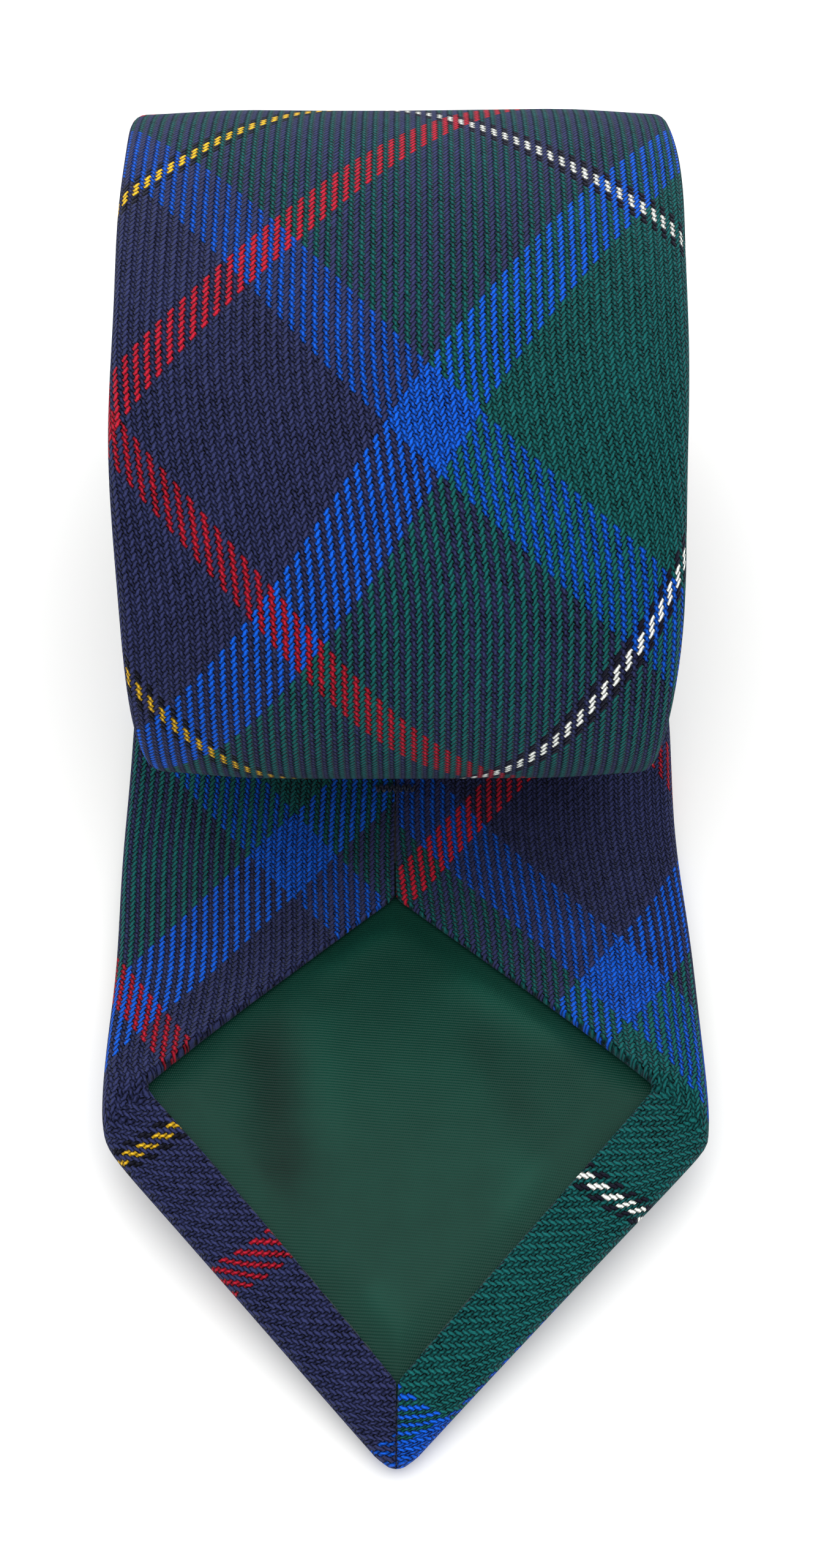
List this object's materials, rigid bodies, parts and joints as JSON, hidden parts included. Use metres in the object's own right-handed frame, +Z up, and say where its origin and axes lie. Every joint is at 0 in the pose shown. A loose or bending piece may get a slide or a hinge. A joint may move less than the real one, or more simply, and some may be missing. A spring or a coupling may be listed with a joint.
{
  "type": "necktie",
  "caption": "Lined tartan wool necktie rolled from its narrow end, with its wide pointed blade end lying out flat, lining side up.",
  "frame": {"origin": "middle of the flat face where the roll's lowest turn rests on the surface", "axes": "+X across the tie, to the right when looking at the roll with the pointed tip nearest, +Y from the tip towards the roll, +Z up"},
  "size_m": [0.0842, 0.1989, 0.0794],
  "materials": {
    "tartan_wool": "matt twill wool in a blue, navy and green check with fine red, yellow and white lines",
    "tipping": "smooth dark green lining with a soft sheen",
    "interlining": "brushed cream wool canvas",
    "thread": "dark navy sewing thread"
  },
  "bodies": {
    "roll": {"blade_shell": "tartan_wool", "neck_shell": "tartan_wool", "tail_shell": "tartan_wool", "keeper_loop": "tartan_wool", "tail_tipping": "tipping", "interlining_blade": "interlining", "interlining_tail": "interlining", "interlining_join": "thread", "slip_stitch": "thread", "blade_bar_tack": "thread", "tail_bar_tack": "thread", "keeper_tack_left": "thread", "keeper_tack_right": "thread", "neck_seam_blade": "thread", "neck_seam_tail": "thread", "tail_mitre_stitch": "thread", "tail_tipping_seam_left": "thread", "tail_tipping_seam_right": "thread"},
    "blade_end": {"blade_shell_end": "tartan_wool", "interlining_end": "interlining", "blade_tipping": "tipping", "blade_mitre_stitch": "thread", "blade_tipping_seam_left": "thread", "blade_tipping_seam_right": "thread"}
  },
  "joints": [
    {"name": "blade_lift", "type": "hinge", "parent": "roll", "child": "blade_end", "pos_m": [0, -0.04684, 0.00384], "axis": [-1, 0, 0], "range_deg": [0, 60]}
  ]
}
